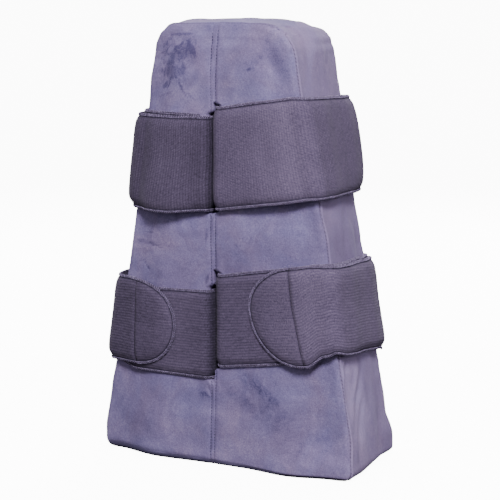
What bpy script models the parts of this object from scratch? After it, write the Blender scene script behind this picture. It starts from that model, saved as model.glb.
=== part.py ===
"""Hip abduction pillow: a soft wedge with two pairs of cloth straps wrapped round its sides.

The wedge stands on its broad end, its front faces -Y, +X is to the right and +Z is up.
Both the wedge and the straps are read from one section: at any height, half of the wedge's
outline runs from the front slot round the side to the back slot. A place on it is given by
its stop, a number whose whole part is the stretch and whose fraction is the way along it:

    0 slot wall, 1 lip, 2 front panel, 3 front edge, 4 boxing strip,
    5 back edge, 6 back panel, 7 back lip, 8 back slot wall, 9 the end
"""

import math

import bmesh
import bpy

MM = 0.001

# Wedge sizes in metres: 18 inches high, 12 inches wide at the base, 6 at the top, 4 deep
SEAM_TOP = 0.462
BASE_HALF = 0.1525
TOP_HALF = 0.0758
HALF_DEPTH = 0.052
TOP_CORNER_R = 0.031
BASE_CORNER_R = 0.012
BASE_EDGE_R = 0.005
EDGE_R = 0.0075
SIDE_CROWN = 0.003
SIDE_CROWN_FULL = 0.06
TOP_CROWN = 0.005
SIDE_TAPER = (BASE_HALF - TOP_HALF) / SEAM_TOP
SLANT = math.hypot(1.0, SIDE_TAPER)

# The top edge is highest at one place across, and sags to both sides by the square of the distance
CREST_X = 0.008
CREST_SAG_LEFT = 0.1
CREST_SAG_RIGHT = 1.5
CREST_START = 0.41
CREST_FULL = 0.455

# Centre seam and the slots that the straps pass through, in metres
SEAM_X = -0.008
SEAM_HALF_GAP = 0.0006
SEAM_LIP_W = 0.006
SEAM_LIP_DROP = 0.0022
SEAM_DEPTH = 0.0032
SLOT_HALF_GAP = 0.0056
SLOT_LIP_R = 0.006
SLOT_DEPTH = 0.024
SLOT_TAPER = 0.007
SLOTS = (
    # side, face, bottom, top
    (-1.0, 1.0, 0.090, 0.188),
    (-1.0, 1.0, 0.266, 0.368),
    (-1.0, -1.0, 0.090, 0.195),
    (-1.0, -1.0, 0.269, 0.375),
    (1.0, 1.0, 0.104, 0.204),
    (1.0, 1.0, 0.269, 0.377),
    (1.0, -1.0, 0.097, 0.198),
    (1.0, -1.0, 0.269, 0.375),
)

# Cloth of the straps in metres
STRAP_THICK = 0.0035
SKIN_GAP = 0.001
LAYER_GAP = 0.0007
EDGE_CLEAR = 0.001
STRAP_EDGE_R = 0.0016
TAB_GAP = 0.0003

# Unevenness of the stuffing: height, then swells in millimetres
SWELLS = (
    # height, left side, right side at the front, right side at the back, front crown, back crown
    (0, -2.0, 0.0, 0.0, 13.3, 9.0),
    (30, 2.0, 0.5, 0.0, 11.0, 9.0),
    (70, 0.8, 0.0, 0.0, 8.5, 8.0),
    (110, -0.5, 0.0, 0.0, 6.5, 6.5),
    (170, -1.5, 1.0, -1.0, 6.0, 6.0),
    (215, -1.0, 5.0, 0.5, 8.0, 8.0),
    (245, -1.0, 6.0, 0.0, 9.0, 9.0),
    (275, -1.0, 4.0, -1.0, 7.5, 7.5),
    (325, -0.5, 1.0, 0.0, 6.0, 6.0),
    (375, 1.5, 0.5, 0.5, 7.0, 7.0),
    (405, 3.5, 0.0, 0.5, 8.0, 8.0),
    (432, 3.0, 0.5, 0.5, 5.0, 5.0),
    (446, 3.0, 0.5, 2.0, 2.0, 2.0),
    (456, 4.0, 1.5, 7.0, 0.0, 0.0),
    (464, 9.0, 3.0, 12.0, 0.0, 0.0),
    (470, 12.0, 4.0, 15.0, 0.0, 0.0),
)
LEFT, RIGHT_FRONT, RIGHT_BACK, FRONT_CROWN, BACK_CROWN = range(1, 6)

# Where the right edges flare out near the base, in metres
FLARES = (
    # face, depth where it starts, middle height, reach up and down, start across, full across,
    # push right, push deeper
    (1.0, 0.000, 0.004, 0.040, 0.030, 0.100, 0.000, 0.009),
    (-1.0, 0.000, 0.026, 0.026, 0.110, 0.145, 0.003, 0.005),
    (-1.0, -0.030, 0.000, 0.013, 0.085, 0.135, -0.010, -0.009),
)

# Heights in millimetres at which the wedge is cut into sections
LEVELS = (
    0, 1.2, 3, 5.5, 9, 14, 24, 38, 56, 72, 83, 86.5, 90, 93.5, 97, 100.5, 104, 130, 160,
    188, 191.5, 195, 198, 201, 204, 207.5, 211, 222, 234, 248, 259, 262, 266, 269, 290, 315, 342,
    368, 371.5, 375, 377, 380.5, 384, 392, 406, 420, 432, 441,
)
TOP_ROLL_STEPS = (0.0, 0.25, 0.5, 0.75, 1.0)
CROWN_STEPS = (0.3, 0.6, 0.85, 0.96)

# Stops along the half section that the wedge and the straps share
WALL_STOPS = (0.15, 0.6)
LIP_STOPS = (1.0, 1.33, 1.67)
PANEL_STOPS = (2.0, 2.2, 2.4, 2.6, 2.8)
ROUND_STOPS = (3.0, 3.33, 3.67, 4.0, 4.33, 4.67, 5.0, 5.33, 5.67)
BACK_PANEL_STOPS = (6.0, 6.2, 6.4, 6.6, 6.8)
BACK_LIP_STOPS = (7.0, 7.33, 7.67, 8.0)
BACK_WALL_STOPS = (8.4, 8.85)
FRONT_SQUARE_END = 2.05
BACK_SQUARE_END = 6.95
FRONT_EDGE = 3.0
BACK_EDGE = 6.0

# Where each strap runs: its edges' heights in millimetres at some stops
STRAP_RUNS = {
    # name: rows of (stop, bottom, top), from the front slot to the back one
    "upper_left_outer": (
        (2.0, 268, 366), (2.45, 265, 366), (3.0, 267, 367), (6.0, 274, 371), (7.0, 272, 373),
    ),
    "upper_left_inner": ((2.0, 274, 368), (3.0, 277, 371), (6.0, 278, 374), (7.0, 274, 374)),
    "upper_right_outer": ((2.0, 270, 376), (3.0, 284, 387), (6.0, 287, 386), (7.0, 274, 377)),
    "upper_right_inner": ((2.0, 274, 372), (3.0, 288, 384), (6.0, 290, 383), (7.0, 274, 374)),
    "lower_left_inner": ((2.0, 91, 185), (3.0, 91, 184), (6.0, 92, 186), (7.0, 92, 188)),
    "lower_left_outer": ((2.4, 99, 190), (3.0, 101, 194), (6.0, 101, 197), (7.0, 96, 192)),
    "lower_right_inner": (
        (2.0, 105, 203), (2.75, 117, 216), (2.95, 129, 220), (3.4, 133, 221),
        (4.5, 126, 220), (5.3, 119, 219), (6.0, 118, 218), (7.0, 104, 200),
    ),
    "lower_right_outer": (
        (2.5, 111, 213), (2.78, 115, 217), (2.94, 126, 220), (3.4, 131, 220),
        (4.5, 124, 218), (5.3, 117, 216), (6.0, 116, 215), (7.0, 98, 197),
    ),
}

# Where the cloth stands off the wedge: middle stop, reach in stops, then millimetres
STAND_OFFS = {
    # name: rows of (stop, reach, at the bottom edge, in the middle, at the top edge)
    "upper_left_outer": ((2.5, 0.5, 8.0, 0.0, 0.0), (3.8, 0.9, 0.0, 1.5, 2.0)),
    "upper_right_outer": ((2.6, 0.5, 3.0, 0.0, 0.0), (6.5, 0.6, 8.0, 0.0, 0.0), (5.3, 1.0, 0.0, 3.5, 0.5)),
    "lower_left_outer": ((4.1, 1.2, 0.0, 0.5, 3.5),),
    "lower_right_outer": ((3.0, 1.0, 0.0, 0.0, 1.5),),
}

# Where all cloth bridges the hollows beside the wedge's edges
BRIDGES = (
    # middle stop, reach in stops, millimetres
    (2.78, 0.24, 2.5),
    (4.20, 0.22, 2.0),
    (4.80, 0.22, 2.0),
    (6.30, 0.30, 1.5),
)

# The tabs: stitch line's distance in from the side's edge at mid-height, what it gains for each
# metre further up, and the radius of the round end, in metres
TABS = {
    "upper_left": (0.022, 0.0, 0.047),
    "upper_right": (0.026, 0.0, 0.048),
    "lower_left": (0.022, -0.17, 0.046),
    "lower_right": (0.031, 0.07, 0.051),
}
TAB_STEPS = (0.0, 0.25, 0.5, 0.7, 0.85, 0.95, 0.99)

# Faces that close a strap's end, as places in its rounded cross-section
STRAP_CAP = ((9, 0, 7, 8), (0, 1, 6, 7), (1, 2, 5, 6), (2, 3, 4, 5))

SIDES = {"left": -1.0, "right": 1.0}
PAIRS = ("upper", "lower")

# Finish of each cloth: colour and roughness
PLUSH = ("plush", (0.225, 0.200, 0.315, 1.0), 0.95)
STRAP_CLOTH = ("strap_cloth", (0.112, 0.092, 0.150, 1.0), 0.9)


def mix(a, b, share):
    return a + (b - a) * share


def ease(share):
    """Smooth step from 0 to 1."""
    share = min(max(share, 0.0), 1.0)
    return share * share * (3.0 - 2.0 * share)


def table_value(rows, key, column, blend):
    """A column of a table, blended between the rows on either side of the key."""
    if key <= rows[0][0]:
        return rows[0][column]
    for low, high in zip(rows, rows[1:]):
        if key <= high[0]:
            return mix(low[column], high[column], blend((key - low[0]) / (high[0] - low[0])))
    return rows[-1][column]


def swell(z, column):
    return table_value(SWELLS, z / MM, column, ease) * MM


def slot_share(side, face, z):
    """1 at a side's half of a slot, 0 where the centre seam is sewn shut."""
    share = 0.0
    for at_side, at_face, bottom, top in SLOTS:
        if (at_side, at_face) == (side, face):
            inside = min(z - (bottom - SLOT_TAPER), (top + SLOT_TAPER) - z) / SLOT_TAPER
            share = max(share, ease(inside))
    return share


def outline(z, out):
    """Half width of the even wedge at one height, on a line that far outside its side seam."""
    arc_z = SEAM_TOP - TOP_CORNER_R
    arc_x = BASE_HALF - SIDE_TAPER * arc_z - TOP_CORNER_R * SLANT
    radius = TOP_CORNER_R + out
    if z > arc_z + radius * SIDE_TAPER / SLANT:
        half = arc_x + math.sqrt(max(radius * radius - (z - arc_z) ** 2, 0.0))
    else:
        half = BASE_HALF - SIDE_TAPER * z + out * SLANT
    if z < BASE_CORNER_R:
        rise = 1.0 - z / BASE_CORNER_R
        half -= BASE_CORNER_R * (1.0 - math.sqrt(1.0 - rise * rise))
    return half


def side_swell(side, z, depth):
    """How far the stuffing pushes a side out, from the front seam round to the back one."""
    if side < 0:
        return swell(z, LEFT)
    return mix(swell(z, RIGHT_FRONT), swell(z, RIGHT_BACK), ease(0.5 - depth / (2 * HALF_DEPTH)))


def strip_crown(z):
    return mix(SIDE_CROWN * ease(z / SIDE_CROWN_FULL), TOP_CROWN, ease((z - 0.40) / 0.04))


def edge_limit(z):
    """How much of the edge roll and the boxing strip's crown lies above this height's section.

    The roll is counted from 0 at the panel to 1 at the seam, the crown from 1 to 2 at mid-strip.
    """
    if z <= SEAM_TOP - EDGE_R:
        return 0.0
    if z <= SEAM_TOP:
        return math.asin(1.0 - (SEAM_TOP - z) / EDGE_R) / (math.pi / 2)
    share = min((z - SEAM_TOP) / strip_crown(z), 1.0)
    return 1.0 + math.asin(math.sqrt(share)) / (math.pi / 2)


def edge_place(z, way):
    """Depth from the middle plane and distance out from the seam line, for a way of 0 to 2."""
    depth = HALF_DEPTH
    if z < BASE_EDGE_R:
        rise = 1.0 - z / BASE_EDGE_R
        depth -= BASE_EDGE_R * (1.0 - math.sqrt(1.0 - rise * rise))
    if way <= 1.0:
        angle = way * math.pi / 2
        return depth - EDGE_R * (1.0 - math.cos(angle)), -EDGE_R * (1.0 - math.sin(angle))
    depth = (depth - EDGE_R) * (2.0 - way)
    return depth, strip_crown(z) * math.sin((way - 1.0) * math.pi / 2) ** 2


def panel_place(side, z, share, crown, face):
    """Point on a front or back panel, as its x and its depth; face is 1 in front, -1 behind."""
    opened = slot_share(side, face, z)
    start = mix(SEAM_HALF_GAP, SLOT_HALF_GAP, opened) + mix(SEAM_LIP_W, SLOT_LIP_R, opened)
    depth, out = edge_place(z, edge_limit(z))
    near = SEAM_X + side * start
    far = side * (outline(z, out) + side_swell(side, z, face * depth))
    rise = 0.85 * (1.0 - ease((share - 0.5) / 0.5)) + 0.15 * math.sin(math.pi * share) ** 2
    return mix(near, far, share), depth + crown * rise


def slot_place(side, z, share, crown, face):
    """Point on a slot's wall and lip: share runs from 0 at the bottom over 1 to 2 at the panel.

    The seam is only a shallow crease there outside the slots, and fades out on the top strip.
    Where one side's half of a slot is shut, its wall still runs down beside the other half.
    """
    opened = slot_share(side, face, z)
    either = max(opened, slot_share(-side, face, z))
    sewn = 1.0 - ease((z - (SEAM_TOP - EDGE_R)) / EDGE_R)
    gap = mix(SEAM_HALF_GAP, SLOT_HALF_GAP, opened)
    lip = mix(SEAM_LIP_W, SLOT_LIP_R, opened)
    drop = mix(SEAM_LIP_DROP, SLOT_LIP_R, opened)
    hollow = mix(SEAM_DEPTH, SLOT_DEPTH, either)
    x, skin = panel_place(side, z, 0.0, crown, face)
    if share < 1.0:
        gap *= mix(mix(0.5, 1.0, sewn), 1.0, share)
        return SEAM_X + side * gap, skin - mix(hollow, drop, share) * sewn
    angle = (share - 1.0) * math.pi / 2
    return x - side * lip * math.cos(angle), skin - drop * (1.0 - math.sin(angle)) * sewn


def flare(x, y, z):
    """Push the edges of the right side out near the base."""
    for face, begin, height, reach, start, full, right, deep in FLARES:
        rise = max(0.0, 1.0 - ((z - height) / reach) ** 2) ** 2
        rise *= ease((x - start) / (full - start)) * ease((-face * y - begin) / (HALF_DEPTH - begin))
        x += right * rise
        y -= face * deep * rise
    return x, y


def surface(side, stop, z):
    """Point of the wedge's skin at a stop and a height."""
    front = stop <= 4.5
    way = stop if front else 9.0 - stop
    face = 1.0 if front else -1.0
    crown = swell(z, FRONT_CROWN if front else BACK_CROWN)
    if way < 2.0:
        x, depth = slot_place(side, z, way, crown, face)
    elif way < 3.0:
        x, depth = panel_place(side, z, way - 2.0, crown, face)
    else:
        floor = edge_limit(z)
        turn = way - 3.0 if way < 4.0 else 1.0 + (way - 4.0) * 2.0
        turn = max(turn, mix(floor, 2.0, (way - 3.0) / 1.5)) if floor > 0.0 else turn
        depth, out = edge_place(z, turn)
        x = side * (outline(z, out) + side_swell(side, z, face * depth))
    return flare(x, -face * depth, z)


def outward(side, stop, z):
    """Level direction that points away from the wedge at a stop and a height."""
    step = 0.02
    x0, y0 = surface(side, max(stop - step, 0.0), z)
    x1, y1 = surface(side, min(stop + step, 9.0), z)
    length = math.hypot(x1 - x0, y1 - y0)
    return side * (y1 - y0) / length, -side * (x1 - x0) / length


def panel_stop(side, z, inset, edge):
    """Stop at one height that lies a distance in from an edge of the side."""
    far = abs(surface(side, FRONT_EDGE, z)[0] - surface(side, 2.0, z)[0])
    return edge - inset / far if edge == FRONT_EDGE else edge + inset / far


def add_object(name, mesh_data, finish):
    """Object with its own material, made from a finished bmesh."""
    bmesh.ops.recalc_face_normals(mesh_data, faces=mesh_data.faces)
    mesh = bpy.data.meshes.new(name)
    mesh_data.to_mesh(mesh)
    mesh_data.free()
    mesh.shade_smooth()
    mesh.set_sharp_from_angle(angle=math.radians(50))
    label, colour, roughness = finish
    material = bpy.data.materials.new(name + "_" + label)
    material.use_nodes = True
    shader = material.node_tree.nodes["Principled BSDF"]
    shader.inputs["Base Color"].default_value = colour
    shader.inputs["Roughness"].default_value = roughness
    mesh.materials.append(material)
    bpy.context.scene.collection.objects.link(bpy.data.objects.new(name, mesh))


def loft(rings, cap):
    """Closed skin over a stack of rings with the same number of points, both ends capped."""
    skin = bmesh.new()
    loops = [[skin.verts.new(point) for point in ring] for ring in rings]
    count = len(loops[0])
    for low, high in zip(loops, loops[1:]):
        for i in range(count):
            j = (i + 1) % count
            skin.faces.new((low[i], low[j], high[j], high[i]))
    for end in (loops[0], loops[-1]):
        for corners in cap:
            skin.faces.new([end[i] for i in corners])
    return skin


def wedge_levels():
    """All section heights in metres: the body, the roll of the top edge and the strip's crown."""
    levels = [height * MM for height in LEVELS]
    levels += [SEAM_TOP - EDGE_R * (1.0 - math.sin(step * math.pi / 2)) for step in TOP_ROLL_STEPS]
    levels += [SEAM_TOP + TOP_CROWN * step for step in CROWN_STEPS]
    return levels


def crest_sag(x, z):
    """How far the top edge sags below its highest place."""
    amount = CREST_SAG_RIGHT if x > CREST_X else CREST_SAG_LEFT
    return amount * (x - CREST_X) ** 2 * ease((z - CREST_START) / (CREST_FULL - CREST_START))


def wedge_ring(z):
    """The whole outline at one height, from the front slot's bottom round by the right."""
    front_stops = (0.0,) + LIP_STOPS + PANEL_STOPS + ROUND_STOPS
    stops = front_stops + BACK_PANEL_STOPS + BACK_LIP_STOPS + (9.0,)
    right = [surface(1.0, stop, z) for stop in stops]
    left = [surface(-1.0, stop, z) for stop in reversed(stops)]
    return [(x, y, z - crest_sag(x, z)) for x, y in right + left]


def build_pillow():
    rings = [wedge_ring(z) for z in wedge_levels()]
    add_object("pillow", loft(rings, [range(len(rings[0]))]), PLUSH)


def strap_height(name, stop, share):
    """Height at a share of the way up a strap, at one stop."""
    rows = STRAP_RUNS[name]
    bottom = table_value(rows, stop, 1, float)
    top = table_value(rows, stop, 2, float)
    return mix(bottom, top, share) * MM


def strap_offset(name, stop, share):
    """Distance from the wedge's skin to the strap's inner face."""
    turned = max(1.0 - abs(stop - 3.5), 1.0 - abs(stop - 5.5), 0.0)
    offset = SKIN_GAP + EDGE_CLEAR * ease(turned * 2.0)
    for centre, reach, rise in BRIDGES:
        offset += max(0.0, 1.0 - ((stop - centre) / reach) ** 2) ** 2 * rise * MM
    if name.endswith("inner"):
        return offset
    slot_side = stop - 1.0 if name.startswith("upper") else 8.0 - stop
    offset += (STRAP_THICK + LAYER_GAP) * ease(slot_side)
    for centre, reach, at_bottom, at_middle, at_top in STAND_OFFS.get(name, ()):
        bump = max(0.0, 1.0 - ((stop - centre) / reach) ** 2) ** 2
        swollen = at_bottom * (1.0 - share) ** 2 + at_middle * 4.0 * share * (1.0 - share)
        offset += bump * (swollen + at_top * share ** 2) * MM
    return offset


def strap_ring(name, side, station, half_width=None):
    """Rounded cross-section of a strap, as wide as the strap unless a half width is given.

    A station is a stop, or an edge's stop with the distance in from it and what that gains upward.
    """
    near_stop, inset, lean = station
    middle = strap_height(name, near_stop, 0.5)
    stop = near_stop
    if inset is not None:
        stop = panel_stop(side, middle, inset, near_stop)
    low = strap_height(name, stop, 0.0)
    high = strap_height(name, stop, 1.0)
    half = half_width if half_width else (high - low) / 2
    soft = min(STRAP_EDGE_R, 0.4 * half)
    start = (low + high) / 2 - half
    span = 2.0 * half
    ring = []
    for way, thick in (
        # way up the strap, share of its thickness
        (soft, 0.0), (half, 0.0), (span - soft, 0.0), (span, 0.25), (span, 0.75),
        (span - soft, 1.0), (half, 1.0), (soft, 1.0), (0.0, 0.75), (0.0, 0.25),
    ):
        z = start + way
        if inset is not None:
            stop = panel_stop(side, z, inset + lean * (z - middle), near_stop)
        offset = strap_offset(name, stop, (z - low) / (high - low)) + thick * STRAP_THICK
        x, y = surface(side, stop, z)
        normal_x, normal_y = outward(side, stop, z)
        ring.append((x + normal_x * offset, y + normal_y * offset, z))
    return ring


def strap_stations(pair, side_name, layer):
    """Stations along one strap, from the front to the back."""
    inset, lean, _ = TABS[pair + "_" + side_name]
    stops = PANEL_STOPS[1:] + ROUND_STOPS + BACK_PANEL_STOPS
    front_start = WALL_STOPS + LIP_STOPS + PANEL_STOPS[:1]
    back_end = BACK_LIP_STOPS + BACK_WALL_STOPS
    first, last = (), ()
    if (pair, layer) == ("upper", "outer"):
        stops = front_start + PANEL_STOPS[1:] + ROUND_STOPS + BACK_PANEL_STOPS[:1]
        last = ((BACK_EDGE, inset, lean),)
    elif (pair, layer) == ("upper", "inner"):
        stops = (FRONT_SQUARE_END,) + stops + back_end
    elif (pair, layer) == ("lower", "outer"):
        first = ((FRONT_EDGE, inset, lean),)
        stops = ROUND_STOPS + BACK_PANEL_STOPS + back_end
    else:
        stops = front_start + stops + (BACK_SQUARE_END,)
    return first + tuple((stop, None, 0.0) for stop in stops) + last


def build_strap(pair, side_name, layer):
    name = "_".join((pair, side_name, layer))
    stations = strap_stations(pair, side_name, layer)
    rings = [strap_ring(name, SIDES[side_name], station) for station in stations]
    add_object("strap_" + name, loft(rings, STRAP_CAP), STRAP_CLOTH)


def build_tab(pair, side_name):
    """The rounded end beyond the outer layer's stitch line."""
    name = "_".join((pair, side_name, "outer"))
    edge = FRONT_EDGE if pair == "lower" else BACK_EDGE
    inset, lean, radius = TABS[pair + "_" + side_name]
    rings = []
    for step in TAB_STEPS:
        station = (edge, inset + TAB_GAP + step * radius, lean)
        half_width = radius * math.sqrt(1.0 - step * step)
        rings.append(strap_ring(name, SIDES[side_name], station, half_width))
    add_object("tab_" + pair + "_" + side_name, loft(rings, STRAP_CAP), STRAP_CLOTH)


for old in list(bpy.data.objects):
    bpy.data.objects.remove(old)
build_pillow()
for pair_name in PAIRS:
    for side_label in SIDES:
        for layer_name in ("inner", "outer"):
            build_strap(pair_name, side_label, layer_name)
        build_tab(pair_name, side_label)
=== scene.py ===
"""Looks of a hip abduction pillow: velour wedge, ribbed cloth straps, sewing, floor, light, camera.

The wedge stands on its broad end, its front faces -Y, +X is to the right and +Z is up.
A place on its skin is a side, a height and a stop, a number whose whole part is the stretch of
the half section and whose fraction is the way along it:

    0 slot wall, 1 lip, 2 front panel, 3 front edge, 4 boxing strip,
    5 back edge, 6 back panel, 7 back lip, 8 back slot wall, 9 the end
"""

import math

import bpy
import numpy as np
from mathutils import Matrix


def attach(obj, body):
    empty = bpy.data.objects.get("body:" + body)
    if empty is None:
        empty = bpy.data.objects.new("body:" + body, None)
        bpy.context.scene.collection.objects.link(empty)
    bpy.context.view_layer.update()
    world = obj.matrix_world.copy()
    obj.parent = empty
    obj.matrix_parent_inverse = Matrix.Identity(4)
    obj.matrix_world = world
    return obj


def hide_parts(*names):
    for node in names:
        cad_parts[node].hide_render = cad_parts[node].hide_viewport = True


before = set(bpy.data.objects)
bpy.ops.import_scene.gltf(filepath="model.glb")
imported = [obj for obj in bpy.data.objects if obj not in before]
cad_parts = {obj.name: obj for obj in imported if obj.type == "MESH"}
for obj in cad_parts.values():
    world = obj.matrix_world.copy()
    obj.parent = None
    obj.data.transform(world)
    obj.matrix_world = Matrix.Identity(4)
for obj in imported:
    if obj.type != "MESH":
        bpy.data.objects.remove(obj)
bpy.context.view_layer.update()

MM = 0.001
QUARTER = math.pi / 2
MIDDLE_STOP = 4.5
LAST_STOP = 9.0

# Wedge sizes in metres
SEAM_TOP = 0.462
BASE_HALF = 0.1525
TOP_HALF = 0.0758
HALF_DEPTH = 0.052
TOP_CORNER_R = 0.031
BASE_CORNER_R = 0.012
BASE_EDGE_R = 0.005
EDGE_R = 0.0075
SIDE_CROWN = 0.003
SIDE_CROWN_FULL = 0.06
TOP_CROWN = 0.005
TOP_CROWN_START = 0.40
TOP_CROWN_RUN = 0.04
PANEL_LEVEL = 0.85
PANEL_HUMP = 0.15
SIDE_TAPER = (BASE_HALF - TOP_HALF) / SEAM_TOP
SLANT = math.hypot(1.0, SIDE_TAPER)

# The top edge is highest at one place across, and sags to both sides
CREST_X = 0.008
CREST_SAG_LEFT = 0.1
CREST_SAG_RIGHT = 1.5
CREST_START = 0.41
CREST_FULL = 0.455

# Centre seam and slots in metres
SEAM_X = -0.008
SEAM_HALF_GAP = 0.0006
SEAM_LIP_W = 0.006
SLOT_HALF_GAP = 0.0056
SLOT_LIP_R = 0.006
SLOT_DEPTH = 0.024
SLOT_TAPER = 0.0028
SLOTS = (
    # side, face, bottom, top
    (-1.0, 1.0, 0.090, 0.188),
    (-1.0, 1.0, 0.266, 0.368),
    (-1.0, -1.0, 0.090, 0.195),
    (-1.0, -1.0, 0.269, 0.375),
    (1.0, 1.0, 0.104, 0.204),
    (1.0, 1.0, 0.269, 0.377),
    (1.0, -1.0, 0.097, 0.198),
    (1.0, -1.0, 0.269, 0.375),
)

# Sewing of the velour in metres
STITCH_ROW_TOP = 0.0031
STITCH_ROW_BASE = 0.0022
STITCH_PITCH = 0.0031
STITCH_R = 0.00034
STITCH_START = 0.009
STITCH_LIFT = 0.00015
STITCH_DIP = 0.0005
CENTRE_VALLEY = 0.0010
CENTRE_RIDGE = 0.0004
CENTRE_RIDGE_W = 0.0018
STITCH_GROOVE = 0.0004
STITCH_GROOVE_W = 0.0008
EDGE_GROOVE = 0.0009
EDGE_GROOVE_W = 0.0009
EDGE_RIDGE = 0.0004
EDGE_RIDGE_AT = 0.0022
EDGE_RIDGE_W = 0.0013
HEM_LEFT = 0.0068
HEM_RIGHT = 0.0022
HEM_GROOVE = 0.0010
HEM_GROOVE_W = 0.0010
PUCKER = 0.00035
PUCKER_PITCH = 0.0075
PUCKER_AT = 0.003
PUCKER_W = 0.0045

# Seed of the puckers, and the way round the edge roll at which its seam lies
PUCKER_SEED = 5
SEAM_WAY = 0.68

# Cloth of the straps in metres
STRAP_THICK = 0.0035
SKIN_GAP = 0.001
LAYER_GAP = 0.0007
EDGE_CLEAR = 0.001
STRAP_EDGE_R = 0.0016
TAB_GAP = 0.0003
RIB_PITCH = 0.0029
RIB_DEPTH = 0.0003
BEAD_WIDE = 0.0019
THREAD_R = 0.00028
LOOP_PITCH = 0.0022
KNIT_ROW = 0.0027
CLOTH_SWELL = 0.0014
CLOTH_SWELL_RUN = 0.022
EDGE_THIN = 0.0024
EDGE_THIN_RUN = 0.010
BEAD_RISE = 0.0005
BEAD_AT = 0.0009
BEAD_W = 0.0008
BESIDE_BEAD = 0.0011
BESIDE_BEAD_DIP = 0.0004
RIB_START = 0.0012
TAB_SEAM_DIP = 0.0007
TAB_SEAM_W = 0.0012

# How dark the painted shade in a tab's sunk stitch line is, an inner layer's share of relief, and
# the rib value of plain cloth
TAB_SEAM_SHADE = 0.8
INNER_RELIEF = 0.6
PLAIN_RIB = 0.3

# How the ribs wander and vary: amounts in ribs, the runs in metres
RIB_DRIFT = 0.35
RIB_DRIFT_RUN = 0.030
RIB_ROUND = 0.7
RIB_MEAN = 0.82
RIB_VARY = 0.18
RIB_VARY_RUN = 0.006
RIB_VARY_STEP = 1.7

# Points of the cloth's grid
PATH_STEPS = 1600
RIM_POINTS = 6
INNER_POINTS = 12
TAB_STATIONS = 56
TAB_POINTS = 150
TAB_TIP = 0.96
STRAP_GRIDS = {
    # pair: (distance between stations along it in metres, points across the outer face)
    "upper": (RIB_PITCH / 5, 36),
    "lower": (0.0038, 200),
}

# Unevenness of the stuffing: height, then swells in millimetres
SWELLS = (
    # height, left side, right side at the front, right side at the back, front crown, back crown
    (0, -2.0, 0.0, 0.0, 13.3, 9.0),
    (30, 2.0, 0.5, 0.0, 11.0, 9.0),
    (70, 0.8, 0.0, 0.0, 8.5, 8.0),
    (110, -0.5, 0.0, 0.0, 6.5, 6.5),
    (170, -1.5, 1.0, -1.0, 6.0, 6.0),
    (215, -1.0, 5.0, 0.5, 8.0, 8.0),
    (245, -1.0, 6.0, 0.0, 9.0, 9.0),
    (275, -1.0, 4.0, -1.0, 7.5, 7.5),
    (325, -0.5, 1.0, 0.0, 6.0, 6.0),
    (375, 1.5, 0.5, 0.5, 7.0, 7.0),
    (405, 3.5, 0.0, 0.5, 8.0, 8.0),
    (432, 3.0, 0.5, 0.5, 5.0, 5.0),
    (446, 3.0, 0.5, 2.0, 2.0, 2.0),
    (456, 4.0, 1.5, 7.0, 0.0, 0.0),
    (464, 9.0, 3.0, 12.0, 0.0, 0.0),
    (470, 12.0, 4.0, 15.0, 0.0, 0.0),
)
LEFT, RIGHT_FRONT, RIGHT_BACK, FRONT_CROWN, BACK_CROWN = range(1, 6)

# Where the right edges flare out near the base, in metres
FLARES = (
    # face, depth where it starts, middle height, reach up and down, start across, full across,
    # push right, push deeper
    (1.0, 0.000, 0.004, 0.040, 0.030, 0.100, 0.000, 0.009),
    (-1.0, 0.000, 0.026, 0.026, 0.110, 0.145, 0.003, 0.005),
    (-1.0, -0.030, 0.000, 0.013, 0.085, 0.135, -0.010, -0.009),
)

# Where each strap runs: its edges' heights in millimetres at some stops
STRAP_RUNS = {
    # name: rows of (stop, bottom, top), from the front slot to the back one
    "upper_left_outer": (
        (2.0, 268, 366), (2.45, 265, 366), (3.0, 267, 367), (6.0, 274, 371), (7.0, 272, 373),
    ),
    "upper_left_inner": ((2.0, 274, 368), (3.0, 277, 371), (6.0, 278, 374), (7.0, 274, 374)),
    "upper_right_outer": ((2.0, 270, 376), (3.0, 284, 387), (6.0, 287, 386), (7.0, 274, 377)),
    "upper_right_inner": ((2.0, 274, 372), (3.0, 288, 384), (6.0, 290, 383), (7.0, 274, 374)),
    "lower_left_inner": (
        (2.0, 91, 185), (2.75, 93, 184), (3.0, 101, 184), (6.0, 101, 186), (7.0, 92, 188),
    ),
    "lower_left_outer": ((2.4, 99, 190), (3.0, 101, 194), (6.0, 101, 197), (7.0, 96, 192)),
    "lower_right_inner": (
        (2.0, 105, 203), (2.75, 117, 216), (2.95, 129, 220), (3.4, 133, 221),
        (4.5, 126, 220), (5.3, 119, 219), (6.0, 118, 218), (7.0, 104, 200),
    ),
    "lower_right_outer": (
        (2.5, 111, 213), (2.78, 115, 217), (2.94, 126, 220), (3.4, 131, 220),
        (4.5, 124, 218), (5.3, 117, 216), (6.0, 116, 215), (7.0, 98, 197),
    ),
}

# Where the cloth stands off the wedge: middle stop, reach in stops, then millimetres
STAND_OFFS = {
    # name: rows of (stop, reach, at the bottom edge, in the middle, at the top edge)
    "upper_left_outer": ((2.5, 0.5, 8.0, 0.0, 0.0), (3.8, 0.9, 0.0, 1.5, 2.0)),
    "upper_right_outer": (
        (2.6, 0.5, 3.0, 0.0, 0.0), (6.5, 0.6, 8.0, 0.0, 0.0), (5.3, 1.0, 0.0, 3.5, 0.5),
    ),
    "lower_left_outer": ((4.1, 1.2, 0.0, 0.5, 3.5),),
    "lower_right_outer": ((3.0, 1.0, 0.0, 0.0, 1.5),),
}

# Where a layer's bottom edge is drawn in towards the wedge, over a share of its width
EDGE_TUCKS = {
    # name: (middle stop, reach in stops, millimetres)
    "upper_left_outer": (3.9, 1.4, 3.4),
    "lower_left_outer": (3.7, 0.9, 2.0),
    "lower_right_outer": (5.0, 1.1, 2.2),
}
TUCK_SHARE = 0.13

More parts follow.
